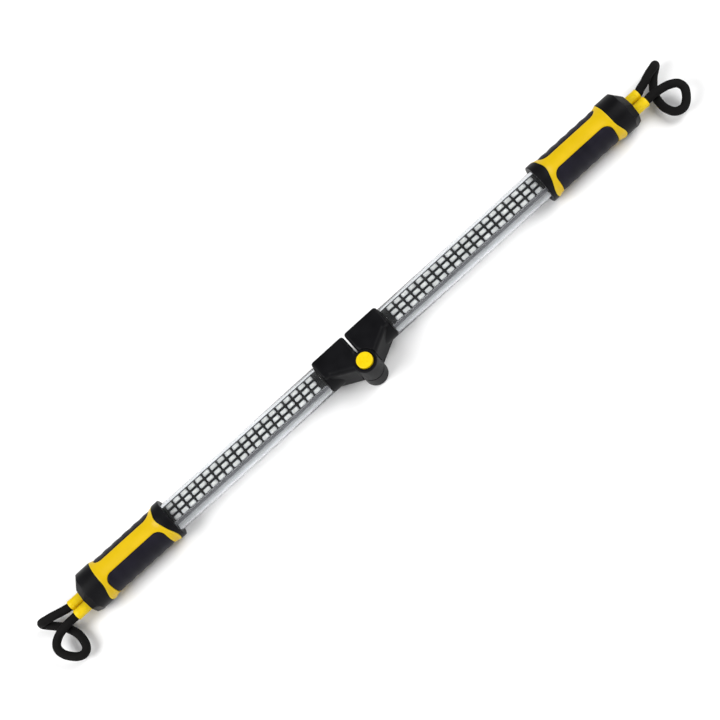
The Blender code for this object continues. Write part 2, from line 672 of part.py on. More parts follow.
to_ground = Vector((0.0, AXIS_Y, AXIS_Z))
for piece in list(parts.objects) + list(cutters.objects):
    piece.location += to_ground
for piece in parts.objects:
    smooth(piece)

fold_axis = bpy.data.objects.new("fold_axis", None)
fold_axis.location = Vector((FOLD[0], FOLD[1], 0.0)) + to_ground
parts.objects.link(fold_axis)
bpy.context.view_layer.update()
for piece in list(parts.objects):            # the right section turns about the fold axis
    if piece.name.startswith("right_"):
        piece.parent = fold_axis
        piece.matrix_parent_inverse = fold_axis.matrix_world.inverted()
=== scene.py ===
"""Looks of the folding two-section LED work light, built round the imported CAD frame.

Lengths are in metres. The tubes' axis runs along X at (AXIS_Y, AXIS_Z); angles round it are
measured from +Z, the side the LEDs face, towards +Y.
"""
import json
import math

import bmesh
import bpy
from mathutils import Matrix, Vector


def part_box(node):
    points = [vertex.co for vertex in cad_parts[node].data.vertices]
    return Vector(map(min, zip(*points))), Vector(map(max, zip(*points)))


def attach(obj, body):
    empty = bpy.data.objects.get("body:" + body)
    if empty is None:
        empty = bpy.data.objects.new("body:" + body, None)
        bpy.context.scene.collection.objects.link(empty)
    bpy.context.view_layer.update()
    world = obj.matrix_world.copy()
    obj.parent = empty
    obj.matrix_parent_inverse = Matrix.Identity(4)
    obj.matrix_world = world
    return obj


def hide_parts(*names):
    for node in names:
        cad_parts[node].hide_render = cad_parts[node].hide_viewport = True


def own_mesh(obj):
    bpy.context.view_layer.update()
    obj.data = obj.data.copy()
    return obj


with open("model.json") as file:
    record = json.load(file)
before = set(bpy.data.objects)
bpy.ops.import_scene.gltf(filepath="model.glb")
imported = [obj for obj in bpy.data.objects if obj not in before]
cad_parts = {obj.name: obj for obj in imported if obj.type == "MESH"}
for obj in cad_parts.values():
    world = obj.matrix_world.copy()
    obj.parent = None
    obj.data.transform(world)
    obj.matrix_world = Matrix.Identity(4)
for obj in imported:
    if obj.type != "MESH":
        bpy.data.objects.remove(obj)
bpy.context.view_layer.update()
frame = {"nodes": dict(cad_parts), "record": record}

MM = 0.001
SIDES = (("left", -1), ("right", 1))
tube_low, tube_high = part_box("right_tube")
AXIS_Y = (tube_low[1] + tube_high[1]) / 2
AXIS_Z = (tube_low[2] + tube_high[2]) / 2
TUBE_R = (tube_high[2] - tube_low[2]) / 2
FOLD = Vector(next(j for j in frame["record"]["behaviour"]["joints"]
                   if j["name"] == "fold")["pos_m"])
FLANGE_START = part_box("right_flange")[0][0]
SHELL_START, SHELL_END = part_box("right_front_shell")[0][0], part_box("right_front_shell")[1][0]
GRIP_START, GRIP_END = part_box("right_lower_grip")[0][0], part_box("right_lower_grip")[1][0]
CAP_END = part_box("right_end_cap")[1][0]
HOUSING_START = 0.8 * MM       # each housing half stops just short of the other
HOUSING_END = 38.7 * MM
LOBE_R = 11.3 * MM             # round ends of the two halves, one above the other
LOBE_GAP = 0.3 * MM
LOBE_SPLIT_Z = AXIS_Z - 3.15 * MM
BUTTON_R = 7.7 * MM
BUTTON_SKIRT_Z = AXIS_Z + 6.5 * MM
SHELL_BORE_R = 15.3 * MM
HANDLE_R = 20.0 * MM
STRIP_R = 18.6 * MM
GRIP_R = 18.4 * MM
POCKET_R = 16.9 * MM
CUTTER_R = 26.0 * MM           # past every skin, where the grip cutters end
TUBE_WALL = 1.8 * MM
HOOK_SHIFT = (-2.0 * MM, -3.0 * MM)
HOOK_HALF_SPACING = 5.5 * MM
HOOK_R = 4.1 * MM
COLLAR_END = {"left": 345.6 * MM, "right": 344.0 * MM}


# ---------------------------------------------------------------- mesh helpers
def mesh_object(name, mesh):
    piece = bpy.data.objects.new(name, mesh)
    bpy.context.scene.collection.objects.link(piece)
    return piece


def from_form(name, form):
    mesh = bpy.data.meshes.new(name)
    bmesh.ops.recalc_face_normals(form, faces=form.faces)
    form.to_mesh(mesh)
    form.free()
    return mesh_object(name, mesh)


def loft(name, rings, close_ends=True, loop=False):
    """Skin between rings of equally many points. A loop joins the last ring to the first."""
    form = bmesh.new()
    rows = [[form.verts.new(point) for point in ring] for ring in rings]
    pairs = list(zip(rows, rows[1:])) + ([(rows[-1], rows[0])] if loop else [])
    count = len(rows[0])
    for first, second in pairs:
        for i in range(count):
            j = (i + 1) % count
            form.faces.new((first[i], first[j], second[j], second[i]))
    if close_ends and not loop:
        form.faces.new(rows[0])
        form.faces.new(rows[-1])
    return from_form(name, form)


def along_x(x, radius, angle):
    """The point at a distance and angle round the tubes' axis."""
    return Vector((x, AXIS_Y + radius * math.sin(angle), AXIS_Z + radius * math.cos(angle)))


def rounded(points, radius, steps=4, closed=False):
    """Round the corners of a profile with short curves of about this radius."""
    count = len(points)
    out = []
    for i, corner in enumerate(points):
        if not closed and i in (0, count - 1):
            out.append(tuple(corner))
            continue
        corner = Vector(corner)
        before, after = Vector(points[i - 1]), Vector(points[(i + 1) % count])
        reach = min(radius, (before - corner).length * 0.45, (after - corner).length * 0.45)
        start = corner + (before - corner).normalized() * reach
        end = corner + (after - corner).normalized() * reach
        for step in range(steps + 1):
            t = step / steps
            out.append(tuple(start * (1 - t) ** 2 + corner * 2 * t * (1 - t) + end * t ** 2))
    return out


def turned_x(name, profile, segments=96, centre=None):
    """Turn a closed (x, radius) profile about the tubes' axis, or about one beside it."""
    shift = Vector((0.0, *(centre or (0.0, 0.0))))
    rings = []
    for i in range(segments):
        angle = math.tau * i / segments
        rings.append([along_x(x, radius, angle) + shift for x, radius in profile])
    return loft(name, rings, loop=True)


def turned_z(name, profile, centre, segments=96):
    """Turn a closed (radius, z) profile about an upright axis."""
    rings = []
    for i in range(segments):
        angle = math.tau * i / segments
        rings.append([Vector((centre[0] + radius * math.cos(angle),
                              centre[1] + radius * math.sin(angle), z))
                      for radius, z in profile])
    return loft(name, rings, loop=True)


def solid_z(name, profile, centre, segments=96):
    """A solid turned form about an upright axis; its (radius, z) points run along the side."""
    rings = []
    for radius, z in profile:
        rings.append([Vector((centre[0] + radius * math.cos(math.tau * i / segments),
                              centre[1] + radius * math.sin(math.tau * i / segments), z))
                      for i in range(segments)])
    return loft(name, rings)


def cylinder_form(name, radius, low, high, centre, axis="Z", segments=96):
    form = bmesh.new()
    bmesh.ops.create_cone(form, cap_ends=True, segments=segments, radius1=radius,
                          radius2=radius, depth=high - low)
    if axis == "X":
        bmesh.ops.rotate(form, verts=form.verts, matrix=Matrix.Rotation(math.pi / 2, 3, "Y"))
        middle = ((low + high) / 2, centre[0], centre[1])
    else:
        middle = (centre[0], centre[1], (low + high) / 2)
    bmesh.ops.translate(form, verts=form.verts, vec=middle)
    return from_form(name, form)


def prism(name, outline, low, high, bevel=0.0, steps=5):
    """An outline in X and Y with thickness along Z and rounded edges."""
    form = bmesh.new()
    bottom = [form.verts.new((x, y, low)) for x, y in outline]
    top = [form.verts.new((x, y, high)) for x, y in outline]
    form.faces.new(bottom)
    form.faces.new(top)
    count = len(outline)
    for i in range(count):
        j = (i + 1) % count
        form.faces.new((bottom[i], bottom[j], top[j], top[i]))
    if bevel:
        bmesh.ops.recalc_face_normals(form, faces=form.faces)
        bmesh.ops.bevel(form, geom=form.edges[:], offset=bevel, segments=steps, profile=0.5,
                        affect="EDGES")
    return from_form(name, form)


def apply_modifiers(piece):
    bpy.context.view_layer.update()
    evaluated = piece.evaluated_get(bpy.context.evaluated_depsgraph_get())
    mesh = bpy.data.meshes.new_from_object(evaluated)
    piece.modifiers.clear()
    piece.data = mesh
    return piece


def combine(piece, steps):
    """Apply Boolean steps of (operation, other) and remove the others."""
    for operation, other in steps:
        modifier = piece.modifiers.new("step", "BOOLEAN")
        modifier.operation = operation
        modifier.object = other
        modifier.solver = "EXACT"
    apply_modifiers(piece)
    for _, other in steps:
        bpy.data.objects.remove(other, do_unlink=True)
    return piece


def soften(piece, voxel, rounds, keep=1.0):
    """Even out a moulded body: voxel remesh, smooth its edges and thin it out."""
    remesh = piece.modifiers.new("remesh", "REMESH")
    remesh.mode = "VOXEL"
    remesh.voxel_size = voxel
    smooth = piece.modifiers.new("smooth", "SMOOTH")
    smooth.factor = 0.5
    smooth.iterations = rounds
    if keep < 1.0:
        thin = piece.modifiers.new("thin", "DECIMATE")
        thin.ratio = keep
    return apply_modifiers(piece)


def shade(piece, angle=40):
    piece.data.shade_smooth()
    piece.data.set_sharp_from_angle(angle=math.radians(angle))


def smooth_path(points, spacing):
    """A Catmull-Rom curve through the points, sampled at an even spacing."""
    ends = [2 * points[0] - points[1]] + points + [2 * points[-1] - points[-2]]
    fine = []
    for i in range(1, len(ends) - 2):
        a, b, c, d = ends[i - 1:i + 3]
        for step in range(24):
            t = step / 24
            fine.append(0.5 * (2 * b + (c - a) * t + (2 * a - 5 * b + 4 * c - d) * t ** 2
                               + (3 * b - a - 3 * c + d) * t ** 3))
    fine.append(points[-1])
    lengths = [0.0]
    for first, second in zip(fine, fine[1:]):
        lengths.append(lengths[-1] + (second - first).length)
    count = round(lengths[-1] / spacing)
    path, index = [], 0
    for i in range(count + 1):
        wanted = lengths[-1] * i / count
        while index < len(lengths) - 2 and lengths[index + 1] < wanted:
            index += 1
        span = lengths[index + 1] - lengths[index]
        path.append(fine[index].lerp(fine[index + 1], (wanted - lengths[index]) / span))
    return path


# ---------------------------------------------------------------- materials
def material(name, colour, roughness, metallic=0.0, grain=0.0, bump=0.0, mottle=0.12,
             rough_spread=0.08, coarse=0.02, specular=0.5, coat=0.0, edge=None):
    """Moulded or cast surface: colour mottling, uneven roughness and a fine grain bump.

    grain is the size of the surface texture and coarse the size of the mottling. edge is
    the colour of sharp edges: rubbed wear on the black parts, a painted highlight on the yellow
    shells.
    """
    made = bpy.data.materials.new(name)
    made.use_nodes = True
    nodes, links = made.node_tree.nodes, made.node_tree.links
    shader = nodes["Principled BSDF"]
    shader.inputs["Metallic"].default_value = metallic
    shader.inputs["Specular IOR Level"].default_value = specular
    shader.inputs["Coat Weight"].default_value = coat
    place = nodes.new("ShaderNodeTexCoord")

    blotches = nodes.new("ShaderNodeTexNoise")
    blotches.inputs["Scale"].default_value = 1.0 / coarse
    blotches.inputs["Detail"].default_value = 6.0
    links.new(place.outputs["Object"], blotches.inputs["Vector"])
    tint = nodes.new("ShaderNodeValToRGB")
    tint.color_ramp.elements[0].position = 0.3
    tint.color_ramp.elements[1].position = 0.7
    tint.color_ramp.elements[0].color = (*[c * (1 - mottle) for c in colour], 1.0)
    tint.color_ramp.elements[1].color = (*[min(1.0, c * (1 + mottle)) for c in colour], 1.0)
    links.new(blotches.outputs["Fac"], tint.inputs["Fac"])
    # sharp edges, found by the mesh's pointiness, get the edge colour: a painted highlight on the
    # yellow shells, rubbed wear on the black parts
    if edge:
        surface = nodes.new("ShaderNodeNewGeometry")
        sharp = nodes.new("ShaderNodeMapRange")
        sharp.inputs["From Min"].default_value = 0.54
        sharp.inputs["From Max"].default_value = 0.62
        edge_wear_and_highlight = nodes.new("ShaderNodeMix")
        edge_wear_and_highlight.data_type = "RGBA"
        edge_wear_and_highlight.inputs["B"].default_value = (*edge, 1.0)
        links.new(surface.outputs["Pointiness"], sharp.inputs["Value"])
        links.new(sharp.outputs["Result"], edge_wear_and_highlight.inputs["Factor"])
        links.new(tint.outputs["Color"], edge_wear_and_highlight.inputs["A"])
        links.new(edge_wear_and_highlight.outputs["Result"], shader.inputs["Base Color"])
    else:
        links.new(tint.outputs["Color"], shader.inputs["Base Color"])

    spread = nodes.new("ShaderNodeMapRange")
    spread.inputs["From Min"].default_value = 0.3
    spread.inputs["From Max"].default_value = 0.7
    spread.inputs["To Min"].default_value = roughness - rough_spread
    spread.inputs["To Max"].default_value = roughness + rough_spread
    links.new(blotches.outputs["Fac"], spread.inputs["Value"])
    links.new(spread.outputs["Result"], shader.inputs["Roughness"])

    if grain:
        texture = nodes.new("ShaderNodeTexNoise")
        texture.inputs["Scale"].default_value = 1.0 / grain
        texture.inputs["Detail"].default_value = 3.0
        links.new(place.outputs["Object"], texture.inputs["Vector"])
        relief = nodes.new("ShaderNodeBump")
        relief.inputs["Strength"].default_value = bump
        relief.inputs["Distance"].default_value = grain * 0.3
        links.new(texture.outputs["Fac"], relief.inputs["Height"])
        links.new(relief.outputs["Normal"], shader.inputs["Normal"])
    return made


def clear_material(name, tint, density):
    """Clear polished plastic, faintly hazed in streaks along the tube."""
    made = bpy.data.materials.new(name)
    made.use_nodes = True
    nodes, links = made.node_tree.nodes, made.node_tree.links
    shader = nodes["Principled BSDF"]
    shader.inputs["Base Color"].default_value = (*tint, 1.0)
    shader.inputs["IOR"].default_value = 1.50
    shader.inputs["Transmission Weight"].default_value = 1.0
    place = nodes.new("ShaderNodeTexCoord")
    stretch = nodes.new("ShaderNodeMapping")
    stretch.inputs["Scale"].default_value = (8.0, 260.0, 260.0)
    lines = nodes.new("ShaderNodeTexNoise")
    lines.inputs["Detail"].default_value = 3.0
    lines.inputs["Scale"].default_value = 1.0          # the mapping sets the streaks' size
    haze = nodes.new("ShaderNodeMapRange")
    haze.inputs["To Min"].default_value = 0.015
    haze.inputs["To Max"].default_value = 0.05
    depth = nodes.new("ShaderNodeVolumeAbsorption")
    depth.inputs["Color"].default_value = (0.55, 0.58, 0.62, 1.0)
    depth.inputs["Density"].default_value = density
    links.new(depth.outputs["Volume"], nodes["Material Output"].inputs["Volume"])
    links.new(place.outputs["Object"], stretch.inputs["Vector"])
    links.new(stretch.outputs["Vector"], lines.inputs["Vector"])
    links.new(lines.outputs["Fac"], haze.inputs["Value"])
    links.new(haze.outputs["Result"], shader.inputs["Roughness"])
    return made


# the shells' lighter edge colour is a painted highlight along their sharp edges
YELLOW = material("yellow_abs", (0.64, 0.425, 0.001), 0.38, grain=0.35 * MM, bump=0.12,
                  mottle=0.05, specular=0.2, edge=(0.72, 0.54, 0.006))
BRIGHT_YELLOW = material("bright_yellow_abs", (0.80, 0.56, 0.002), 0.30, grain=0.4 * MM,
                         bump=0.06, mottle=0.06, coarse=5 * MM, specular=0.25)
BLACK = material("black_nylon", (0.0045, 0.0045, 0.0055), 0.42, grain=0.30 * MM, bump=0.25,
                 mottle=0.3, specular=0.10, edge=(0.014, 0.013, 0.013))
GRIP = material("grip_rubber", (0.008, 0.007, 0.013), 0.50, grain=0.45 * MM, bump=0.45,
                mottle=0.3, specular=0.13)
FOAM = material("hook_foam", (0.0055, 0.0052, 0.0052), 0.80, grain=0.55 * MM, bump=0.8,
                mottle=0.35, coarse=6 * MM, specular=0.1)
SEAL = material("seal_rubber", (0.006, 0.006, 0.006), 0.7, grain=0.5 * MM, bump=0.3)
STEEL = material("zinc_steel", (0.56, 0.56, 0.57), 0.32, metallic=1.0, grain=0.5 * MM,
                 bump=0.15, coarse=3 * MM)
ALUMINIUM = material("rail_anodised", (0.13, 0.13, 0.14), 0.42, metallic=1.0,
                     grain=0.6 * MM, bump=0.2, coarse=10 * MM)
MASK = material("solder_mask", (0.003, 0.0035, 0.0035), 0.35, grain=0.8 * MM, bump=0.12,
                specular=0.3)
LED_BODY = material("led_body", (0.36, 0.37, 0.37), 0.40, grain=0.5 * MM, bump=0.1,
                    coarse=4 * MM)
LED_FACE = material("led_face", (0.47, 0.47, 0.45), 0.25, grain=0.5 * MM, bump=0.1,
                    coarse=4 * MM)
CELL = material("cell_wrap", (0.05, 0.16, 0.36), 0.35, grain=1.0 * MM, bump=0.1)
CLEAR = clear_material("clear_polycarbonate", (0.97, 0.98, 0.99), 110.0)
FLOOR = material("floor_paint", (0.92, 0.92, 0.92), 0.8, grain=0.6 * MM, bump=0.05,
                 mottle=0.01, coarse=0.3, specular=0.2)


def dress(piece, finish, slot, body, *nodes):
    """Give a piece its material, its body and the nodes it stands for. The slot argument is not
    used.
    """
    piece.data.materials.clear()
    piece.data.materials.append(finish)
    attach(piece, body)
    if nodes:
        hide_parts(*nodes)


# ---------------------------------------------------------------- tubes and light engine
def clear_tube(side):
    low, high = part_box(f"{side}_tube")
    bore = TUBE_R - TUBE_WALL
    profile = rounded([(low[0], bore), (low[0], TUBE_R), (high[0], TUBE_R), (high[0], bore)],
                      0.25 * MM, 3, closed=True)
    tube = turned_x(f"{side}_clear_tube", profile, 128)
    shade(tube)
    tube.visible_shadow = False      # clear plastic: the lamps light the board through it
    dress(tube, CLEAR, "clear_tube", f"{side}_section", f"{side}_tube")


LED_ROWS = 3
LEDS_PER_ROW = 20
LED_PITCH = 8.8 * MM
LED_ROW_PITCH = 6.4 * MM
LED_LENGTH = 6.3 * MM
LED_WIDTH = 3.9 * MM
LED_SHIFT = -0.7 * MM           # the rows sit a little off the board's middle
LED_HEIGHT = 0.9 * MM
FIRST_LED = 49.6 * MM


def rounded_box(form, centre, size, radius, steps=2):
    made = bmesh.ops.create_cube(form, size=1.0)["verts"]
    for vertex in made:
        vertex.co = [centre[i] + vertex.co[i] * size[i] for i in range(3)]
    edges = {edge for vertex in made for edge in vertex.link_edges}
    bmesh.ops.bevel(form, geom=list(edges), offset=radius, segments=steps, profile=0.5,
                    affect="EDGES")


def led_array(side, sign):
    """Three rows of surface-mount LEDs: bodies, faces and solder pads."""
    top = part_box(f"{side}_led_board")[1][2]
    bodies, faces, pads = bmesh.new(), bmesh.new(), bmesh.new()
    for row in range(LED_ROWS):
        y = AXIS_Y + LED_SHIFT + (row - (LED_ROWS - 1) / 2) * LED_ROW_PITCH
        for index in range(LEDS_PER_ROW):
            x = sign * (FIRST_LED + index * LED_PITCH)
            rounded_box(bodies, (x, y, top + LED_HEIGHT / 2 + 0.05 * MM),
                        (LED_LENGTH, LED_WIDTH, LED_HEIGHT), 0.25 * MM)
            rounded_box(faces, (x, y, top + LED_HEIGHT + 0.06 * MM),
                        (LED_LENGTH - 1.7 * MM, LED_WIDTH - 1.1 * MM, 0.14 * MM), 0.06 * MM, 1)
            for end in (-1, 1):
                rounded_box(pads, (x + end * (LED_LENGTH / 2 + 0.05 * MM), y, top + 0.16 * MM),
                            (0.5 * MM, LED_WIDTH * 0.5, 0.28 * MM), 0.06 * MM, 1)
    for suffix, form, finish in (("led_bodies", bodies, LED_BODY), ("led_faces", faces, LED_FACE),
                                 ("led_pads", pads, STEEL)):
        piece = from_form(f"{side}_{suffix}", form)
        shade(piece)
        dress(piece, finish, "circuit_board", f"{side}_section")


# ---------------------------------------------------------------- joint housings
def joint_housing(side, sign):
    """One half of the knuckle. The left half carries the front lobe and the button well."""
    node_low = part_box(f"{side}_joint_housing")[0]
    front_z = AXIS_Z + 18.5 * MM
    back_z = AXIS_Z - 15.2 * MM
    fold = (FOLD.x, FOLD.y)
    axis = (AXIS_Y, AXIS_Z)
    ends = sorted((sign * HOUSING_START, sign * HOUSING_END))
    body = cylinder_form(f"{side}_joint_body", TUBE_R, ends[0], ends[1], axis, "X", 128)

    def outline(points):
        return [(sign * x * MM, AXIS_Y + y * MM) for x, y in points]

    face = prism("face", outline([(0.82, -10.0), (38.65, -8.8), (38.65, 12.5), (0.82, 12.5)]),
                 AXIS_Z - 2.0 * MM, front_z, 2.9 * MM, 6)
    web = prism("web", outline([(0.85, 3.0), (35.8, 3.0), (34.2, -9.6), (0.85, -28.2)]),
                back_z, front_z - 0.03 * MM, 4.2 * MM, 8)
    if sign < 0:
        lobe = solid_z("lobe", [(LOBE_R, LOBE_SPLIT_Z - 2 * MM)]
                       + rounded([(LOBE_R, LOBE_SPLIT_Z), (LOBE_R, front_z),
                                  (0.5 * MM, front_z)], 0.8 * MM), fold)
        notch = solid_z("notch", [(LOBE_R + LOBE_GAP, AXIS_Z - 40 * MM),
                                  (LOBE_R + LOBE_GAP, LOBE_SPLIT_Z + LOBE_GAP / 2)], fold)
        room = solid_z("room", [(7.2 * MM, AXIS_Z - 8 * MM), (7.2 * MM, AXIS_Z),
                                (8.05 * MM, AXIS_Z), (8.05 * MM, AXIS_Z + 25 * MM)], fold)
    else:
        rim_z = LOBE_SPLIT_Z - 1 * MM
        lobe = solid_z("lobe", rounded([(LOBE_R - 0.9 * MM, LOBE_SPLIT_Z), (LOBE_R, rim_z)],
                                       0.3 * MM)
                       + rounded([(LOBE_R, rim_z), (LOBE_R, node_low[2]),
                                  (0.5 * MM, node_low[2])], 1.8 * MM, 6)[1:], fold)
        notch = solid_z("notch", [(LOBE_R + LOBE_GAP, LOBE_SPLIT_Z - LOBE_GAP / 2),
                                  (LOBE_R + LOBE_GAP, AXIS_Z + 40 * MM)], fold)
        room = solid_z("room", [(5.0 * MM, AXIS_Z - 40 * MM), (5.0 * MM, AXIS_Z - 17.0 * MM),
                                (2.8 * MM, AXIS_Z - 17.0 * MM), (2.8 * MM, AXIS_Z - 15.6 * MM),
                                (7.9 * MM, AXIS_Z - 15.6 * MM), (7.9 * MM, AXIS_Z + 10 * MM)],
                       fold)
    mouth = sorted((sign * 31.0 * MM, sign * (HOUSING_END + 1 * MM)))
    pocket = cylinder_form("pocket", 12.3 * MM, mouth[0], mouth[1], axis, "X")
    combine(body, [("UNION", face), ("UNION", web), ("UNION", lobe), ("DIFFERENCE", notch),
                   ("DIFFERENCE", room), ("DIFFERENCE", pocket)])
    soften(body, 0.40 * MM, 8, 0.30)
    shade(body, 55)
    dress(body, BLACK, "black_plastic", f"{side}_section", f"{side}_joint_housing")


def release_button():
    """The round yellow push button: a cap with a soft rim and a shallow dished top."""
    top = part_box("release_button")[1][2]
    profile = [(0.02 * MM, top - 0.45 * MM), (BUTTON_R * 0.35, top - 0.40 * MM),
               (BUTTON_R * 0.70, top - 0.12 * MM), (BUTTON_R * 0.82, top)]
    profile += rounded([(BUTTON_R * 0.86, top), (BUTTON_R, top - 0.2 * MM),
                        (BUTTON_R, BUTTON_SKIRT_Z)], 0.9 * MM, 5)
    profile += [(BUTTON_R - 1.3 * MM, BUTTON_SKIRT_Z), (BUTTON_R - 1.3 * MM, top - 2.0 * MM),
                (0.02 * MM, top - 2.0 * MM)]
    button = turned_z("push_button", profile, (FOLD.x, FOLD.y))
    shade(button)
    dress(button, BRIGHT_YELLOW, "yellow_plastic", "release", "release_button")


def coil_spring():
    """The spring under the lock gear, built at one length; the real spring shortens as the button
    goes down.
    """
    low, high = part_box("lock_spring")
    wire_r, turns, steps, sides = 0.45 * MM, 3, 36, 12
    coil_r = (high[0] - low[0]) / 2 - wire_r
    rings = []
    for i in range(turns * steps + 1):
        turn = math.tau * i / steps
        out = Vector((math.cos(turn), math.sin(turn), 0.0))
        rise = (high[2] - low[2] - 2 * wire_r) * i / (turns * steps)
        centre = Vector((FOLD.x, FOLD.y, low[2] + wire_r + rise)) + out * coil_r
        rings.append([centre + (out * math.cos(math.tau * k / sides)
                                + Vector((0.0, 0.0, 1.0)) * math.sin(math.tau * k / sides)) * wire_r
                      for k in range(sides)])
    spring = loft("lock_gear_spring", rings)
    shade(spring)
    dress(spring, STEEL, "steel", "left_section", "lock_spring")
    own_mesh(spring)


# ---------------------------------------------------------------- handles
def bump_at(angle, centre, width):
    """1 at the centre angle, falling smoothly to 0 a width away. Angles in degrees."""
    away = abs((angle - centre + 180) % 360 - 180)
    return 0.5 + 0.5 * math.cos(math.pi * min(away / width, 1.0))


def flange_edge(angle):
    """Where the black flange meets the yellow shell, round the handle. Degrees."""
    strip = max(bump_at(angle, 0, 30), bump_at(angle, 180, 30))
    return SHELL_START + (0.7 + 1.6 * strip - 5.4 * bump_at(angle, -80, 68)
                          - 3.6 * bump_at(angle, 84, 64)) * MM


def cap_edge(angle):
    """Where the yellow shell meets the black end cap, round the handle. Degrees."""
    return SHELL_END + (0.6 + 5.0 * bump_at(angle, -90, 60) + 1.5 * bump_at(angle, 90, 52)) * MM


GRIP_HALF_ANGLE = 66.0        # each grip spans this far either side of straight up or down
GRIP_CORNER = 8.5 * MM


def grip_depth(angle, x, centre, inset=0.0):
    """Distance inside the grip's rounded outline, along the handle's skin."""
    half_x = (GRIP_END - GRIP_START) / 2 - inset
    half_s = math.radians(GRIP_HALF_ANGLE) * GRIP_R - inset
    away = math.radians((angle - centre + 180) % 360 - 180) * GRIP_R
    dx = abs(x - (GRIP_START + GRIP_END) / 2) - (half_x - GRIP_CORNER)
    ds = abs(away) - (half_s - GRIP_CORNER)
    outside = math.hypot(max(dx, 0.0), max(ds, 0.0)) + min(max(dx, ds), 0.0) - GRIP_CORNER
    return -outside


def shell_radius(angle, x):
    """Outer skin of the yellow shell: low strip, flared towards both end pieces."""
    near_end = min(x - flange_edge(angle), cap_edge(angle) - x)
    flare = max(0.0, 1.0 - near_end / (5.5 * MM)) ** 2
    radius = STRIP_R + (HANDLE_R - STRIP_R - 0.05 * MM) * flare
    depth = max(grip_depth(angle, x, 90), grip_depth(angle, x, -90))
    lip = max(0.0, 1.0 - abs(depth) / (1.0 * MM))
    return radius - 0.25 * MM * lip ** 2


def window(name, sign, centre, inset):
    """A radial prism over a grip's rounded outline."""
    half_x = (GRIP_END - GRIP_START) / 2 - inset
    half_s = math.radians(GRIP_HALF_ANGLE) * GRIP_R - inset
    outline = []
    for corner_x, corner_s, start in ((1, 1, 0), (-1, 1, 90), (-1, -1, 180), (1, -1, 270)):
        for step in range(13):
            turn = math.radians(start + 90 * step / 12)
            x = corner_x * (half_x - GRIP_CORNER) + GRIP_CORNER * math.cos(turn)
            s = corner_s * (half_s - GRIP_CORNER) + GRIP_CORNER * math.sin(turn)
            outline.append((x, s))
    dense = []
    for i, (x, s) in enumerate(outline):
        next_x, next_s = outline[(i + 1) % len(outline)]
        pieces = max(1, int(abs(next_s - s) / (1.2 * MM)))
        dense += [(x + (next_x - x) * k / pieces, s + (next_s - s) * k / pieces)
                  for k in range(pieces)]
    middle_x = (GRIP_START + GRIP_END) / 2
    rings = []
    for radius in (POCKET_R + inset, CUTTER_R):
        rings.append([along_x(sign * (middle_x + x), radius,
                              math.radians(centre) + s / GRIP_R) for x, s in dense])
    form = bmesh.new()
    inner, outer = [[form.verts.new(p) for p in ring] for ring in rings]
    count = len(dense)
    for i in range(count):
        j = (i + 1) % count
        form.faces.new((inner[i], inner[j], outer[j], outer[i]))
    for ring in (inner, outer):
        strip_fill(form, ring, dense)
    return from_form(name, form)


def strip_fill(form, ring, outline):
    """Close a curved patch by joining its two long edges point to point."""
    count = len(ring)
    left = sorted((i for i in range(count) if outline[i][0] < 0), key=lambda i: outline[i][1])
    right = sorted((i for i in range(count) if outline[i][0] >= 0), key=lambda i: outline[i][1])
    i, j = 0, 0
    while i < len(left) - 1 or j < len(right) - 1:
        step_left = i < len(left) - 1 and (
            j == len(right) - 1 or outline[left[i + 1]][1] <= outline[right[j + 1]][1])
        if step_left:
            form.faces.new((ring[left[i]], ring[left[i + 1]], ring[right[j]]))
            i += 1
        else:
            form.faces.new((ring[left[i]], ring[right[j + 1]], ring[right[j]]))
            j += 1


SHELL_HALF_ANGLE = 89.87      # each shell stops just short of the parting line


def handle_shells(side, sign):
    """The two yellow shells, with pockets for the side grips."""
    rows, segments = 74, 90
    for label, middle in (("front", 0), ("rear", 180)):
        rings = []
        for i in range(segments + 1):
            degrees = middle + (2 * i / segments - 1) * SHELL_HALF_ANGLE
            angle = math.radians(degrees)
            start, end = flange_edge(degrees), cap_edge(degrees)
            ring = []
            for row in range(rows + 1):
                x = start + (end - start) * row / rows
                ring.append(along_x(sign * x, shell_radius(degrees, x), angle))
            ring.append(along_x(sign * end, SHELL_BORE_R, angle))
            ring.append(along_x(sign * start, SHELL_BORE_R, angle))
            for point in ring:
                point.z = max(point.z, 0.0)
            rings.append(ring)
        shell = loft(f"{side}_{label}_handle_shell", rings)
        steps = [("DIFFERENCE", window("upper_window", sign, 90, 0.0)),
                 ("DIFFERENCE", window("lower_window", sign, -90, 0.0))]
        if label == "rear":
            for item, radius in (("power_button", 4.8), ("charge_socket", 3.9),
                                 ("flange_screw", 2.3), ("cap_screw", 2.3)):
                low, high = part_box(f"{side}_{item}")
                steps.append(("DIFFERENCE", cylinder_form(
                    item, radius * MM, AXIS_Z - 30 * MM, AXIS_Z - 8 * MM,
                    ((low[0] + high[0]) / 2, AXIS_Y), "Z", 48)))
        combine(shell, steps)
        shade(shell, 35)
        dress(shell, YELLOW, "yellow_plastic", f"{side}_section", f"{side}_{label}_shell")


WAVE = 11.6 * MM              # finger waves along the grips


def grip_radius(angle, x, centre):
    depth = grip_depth(angle, x, centre, 0.25 * MM)
    edge = min(max(depth / (1.6 * MM), 0.0), 1.0)
    rounding = 1.0 - math.sqrt(max(0.0, 1.0 - (1.0 - edge) ** 2))
    wave = 0.42 * MM * (0.5 + 0.5 * math.cos(math.tau * (x - GRIP_START) / WAVE)) * edge
    return GRIP_R + 0.1 * MM - wave - 0.9 * MM * rounding


